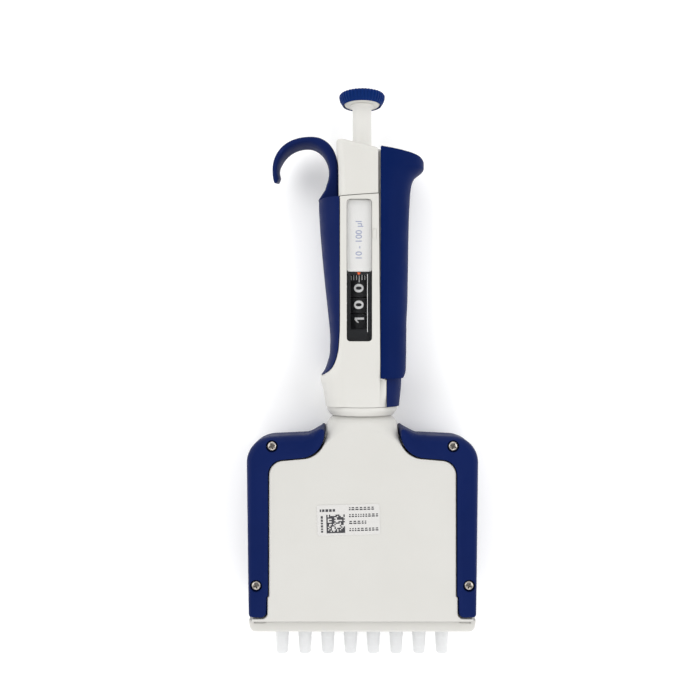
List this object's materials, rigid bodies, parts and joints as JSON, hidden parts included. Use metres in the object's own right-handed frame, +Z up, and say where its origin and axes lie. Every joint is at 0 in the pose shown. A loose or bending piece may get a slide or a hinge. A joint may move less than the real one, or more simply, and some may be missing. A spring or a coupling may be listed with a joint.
{
  "type": "multichannel pipette",
  "caption": "Hand-held multichannel air-displacement pipette with a wide swivelling head, number-wheel volume display, finger hook, push button and side tip ejector.",
  "frame": {"origin": "centre of the bounding box's underside, on the surface that the pipette lies on", "axes": "+Y along the pipette from the nozzles to the push button, +X across the head, +Z up out of the display"},
  "size_m": [0.0884, 0.2206, 0.028],
  "materials": {
    "white": "fine satin moulded",
    "blue": "soft satin moulded",
    "black": "satin",
    "nozzle": "satin polypropylene",
    "clear": "clear, polished",
    "orange": "printed",
    "paper": "matt",
    "steel": "stainless",
    "brass": "turned",
    "seal": "matt"
  },
  "bodies": {
    "handle": {"handle_front_shell": "white", "handle_rear_shell": "white", "handle_top_cover": "white", "finger_hook": "blue", "front_grip": "blue", "ejector_guide": "blue", "display_window": "clear", "counter_bezel": "black", "label_card": "paper", "volume_pointer": "orange", "counter_axle": "steel", "thread_sleeve": "brass", "bearing_plate": "black", "spring_seat": "black", "primary_spring": "steel", "ejector_spring": "steel", "swivel_collar": "white"},
    "plunger": {"plunger_rod": "steel"},
    "push_button": {"button_cap": "blue", "button_insert": "white", "button_sleeve": "white"},
    "units_wheel": {"units_wheel": "black"},
    "tens_wheel": {"tens_wheel": "black"},
    "hundreds_wheel": {"hundreds_wheel": "black"},
    "volume_nut": {"volume_nut": "brass"},
    "ejector": {"ejector_button": "blue", "ejector_push_rod": "steel"},
    "head": {"head_front_cover": "white", "head_rear_cover": "white", "left_side_frame": "blue", "right_side_frame": "blue", "upper_left_screw": "steel", "upper_right_screw": "steel", "lower_left_screw": "steel", "lower_right_screw": "steel", "neck_tube": "white", "cylinder_block": "white", "seal_plate": "seal", "blowout_spring": "steel", "asset_label": "paper", "nozzle_1": "nozzle", "nozzle_2": "nozzle", "nozzle_3": "nozzle", "nozzle_4": "nozzle", "nozzle_5": "nozzle", "nozzle_6": "nozzle", "nozzle_7": "nozzle", "nozzle_8": "nozzle"},
    "tip_ejector": {"ejector_ring": "nozzle", "ejector_yoke": "nozzle", "tip_ejector_bar": "white"},
    "pistons": {"piston_bar": "nozzle", "piston_1": "steel", "piston_2": "steel", "piston_3": "steel", "piston_4": "steel", "piston_5": "steel", "piston_6": "steel", "piston_7": "steel", "piston_8": "steel"}
  },
  "joints": [
    {"name": "button_press", "type": "slide", "parent": "handle", "child": "plunger", "axis": [0, -1, 0], "range_m": [0, 0.0135], "stiffness_N_per_m": 250, "springref_m": -0.004, "deforming": ["primary_spring"]},
    {"name": "volume_dial", "type": "hinge", "parent": "plunger", "child": "push_button", "pos_m": [0, 0.1, 0.014], "axis": [0, -1, 0], "range_deg": [0, 3240]},
    {"name": "units_wheel_turn", "type": "hinge", "parent": "handle", "child": "units_wheel", "pos_m": [0, 0.034, 0.014], "axis": [0, -1, 0], "range_deg": [0, 3240]},
    {"name": "tens_wheel_turn", "type": "hinge", "parent": "handle", "child": "tens_wheel", "pos_m": [0, 0.0264, 0.014], "axis": [0, -1, 0], "range_deg": [0, 324]},
    {"name": "hundreds_wheel_turn", "type": "hinge", "parent": "handle", "child": "hundreds_wheel", "pos_m": [0, 0.0202, 0.014], "axis": [0, -1, 0], "range_deg": [0, 32.4]},
    {"name": "nut_travel", "type": "slide", "parent": "handle", "child": "volume_nut", "axis": [0, -1, 0], "range_m": [0, 0.009]},
    {"name": "eject_press", "type": "slide", "parent": "handle", "child": "ejector", "axis": [0, -1, 0], "range_m": [0, 0.007], "stiffness_N_per_m": 400, "springref_m": -0.005, "deforming": ["ejector_spring"]},
    {"name": "head_swivel", "type": "hinge", "parent": "handle", "child": "head", "pos_m": [0, -0.016, 0.014], "axis": [0, 1, 0], "continuous": true},
    {"name": "tip_bar_slide", "type": "slide", "parent": "head", "child": "tip_ejector", "axis": [0, -1, 0], "range_m": [0, 0.007]},
    {"name": "piston_slide", "type": "slide", "parent": "head", "child": "pistons", "axis": [0, -1, 0], "range_m": [0, 0.0135], "deforming": ["blowout_spring"]}
  ],
  "couplings": [
    {"joint": "volume_dial", "follows": "nut_travel", "rad_per_m": 6283.2},
    {"joint": "units_wheel_turn", "follows": "nut_travel", "rad_per_m": 6283.2},
    {"joint": "tens_wheel_turn", "follows": "nut_travel", "rad_per_m": 628.32},
    {"joint": "hundreds_wheel_turn", "follows": "nut_travel", "rad_per_m": 62.832},
    {"joint": "tip_bar_slide", "follows": "eject_press", "ratio": 1},
    {"joint": "piston_slide", "follows": "button_press", "ratio": 1}
  ]
}
